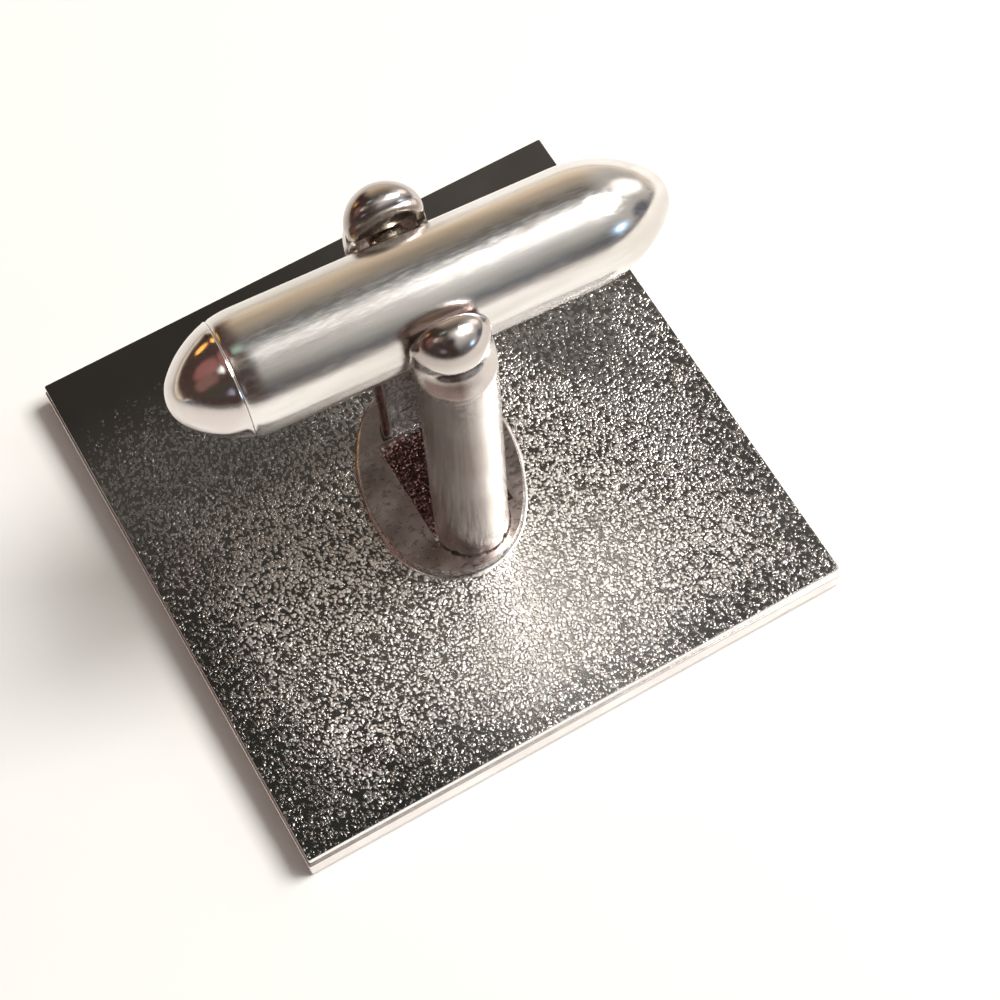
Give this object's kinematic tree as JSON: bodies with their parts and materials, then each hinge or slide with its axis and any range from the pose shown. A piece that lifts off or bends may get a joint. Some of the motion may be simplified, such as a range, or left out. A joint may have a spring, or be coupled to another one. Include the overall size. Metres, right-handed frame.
{
  "type": "cufflink",
  "caption": "Square plate cufflink with a fork soldered on its back and a swivelling bullet bar that turns between the fork's legs to hold a shirt cuff.",
  "frame": {"origin": "centre of the plate's front face, which lies down; bottom centre of the overall box", "axes": "+Z out of the plate's back, +X along two of its sides and nearly along the bar, towards the bar's closed end"},
  "size_m": [0.0222, 0.0222, 0.0169],
  "materials": {
    "face_metal": "polished silver-toned plating",
    "back_metal": "cast grain under dark silver-toned plating",
    "fork_metal": "pressed and tumbled, silver-toned plating",
    "pin_metal": "turned, with milled flats",
    "bar_metal": "satin along its length, silver-toned plating",
    "cap_metal": "polished silver-toned plating",
    "bush_metal": "turned, worn plating",
    "spring_metal": "plain spring strip"
  },
  "bodies": {
    "plate_and_fork": {"face_plate": "face_metal", "back_plate": "back_metal", "foot_pad": "fork_metal", "front_leg": "fork_metal", "rear_leg": "fork_metal", "pivot_pin": "pin_metal"},
    "bar": {"toggle_tube": "bar_metal", "toggle_cap": "cap_metal", "front_bush": "bush_metal", "rear_bush": "bush_metal", "detent_spring": "spring_metal"}
  },
  "joints": [
    {"name": "bar_swivel", "type": "hinge", "parent": "plate_and_fork", "child": "bar", "pos_m": [0.0004, -0.0002, 0.0144], "axis": [0.0637, 0.998, 0], "continuous": true, "deforming": ["detent_spring"]}
  ]
}
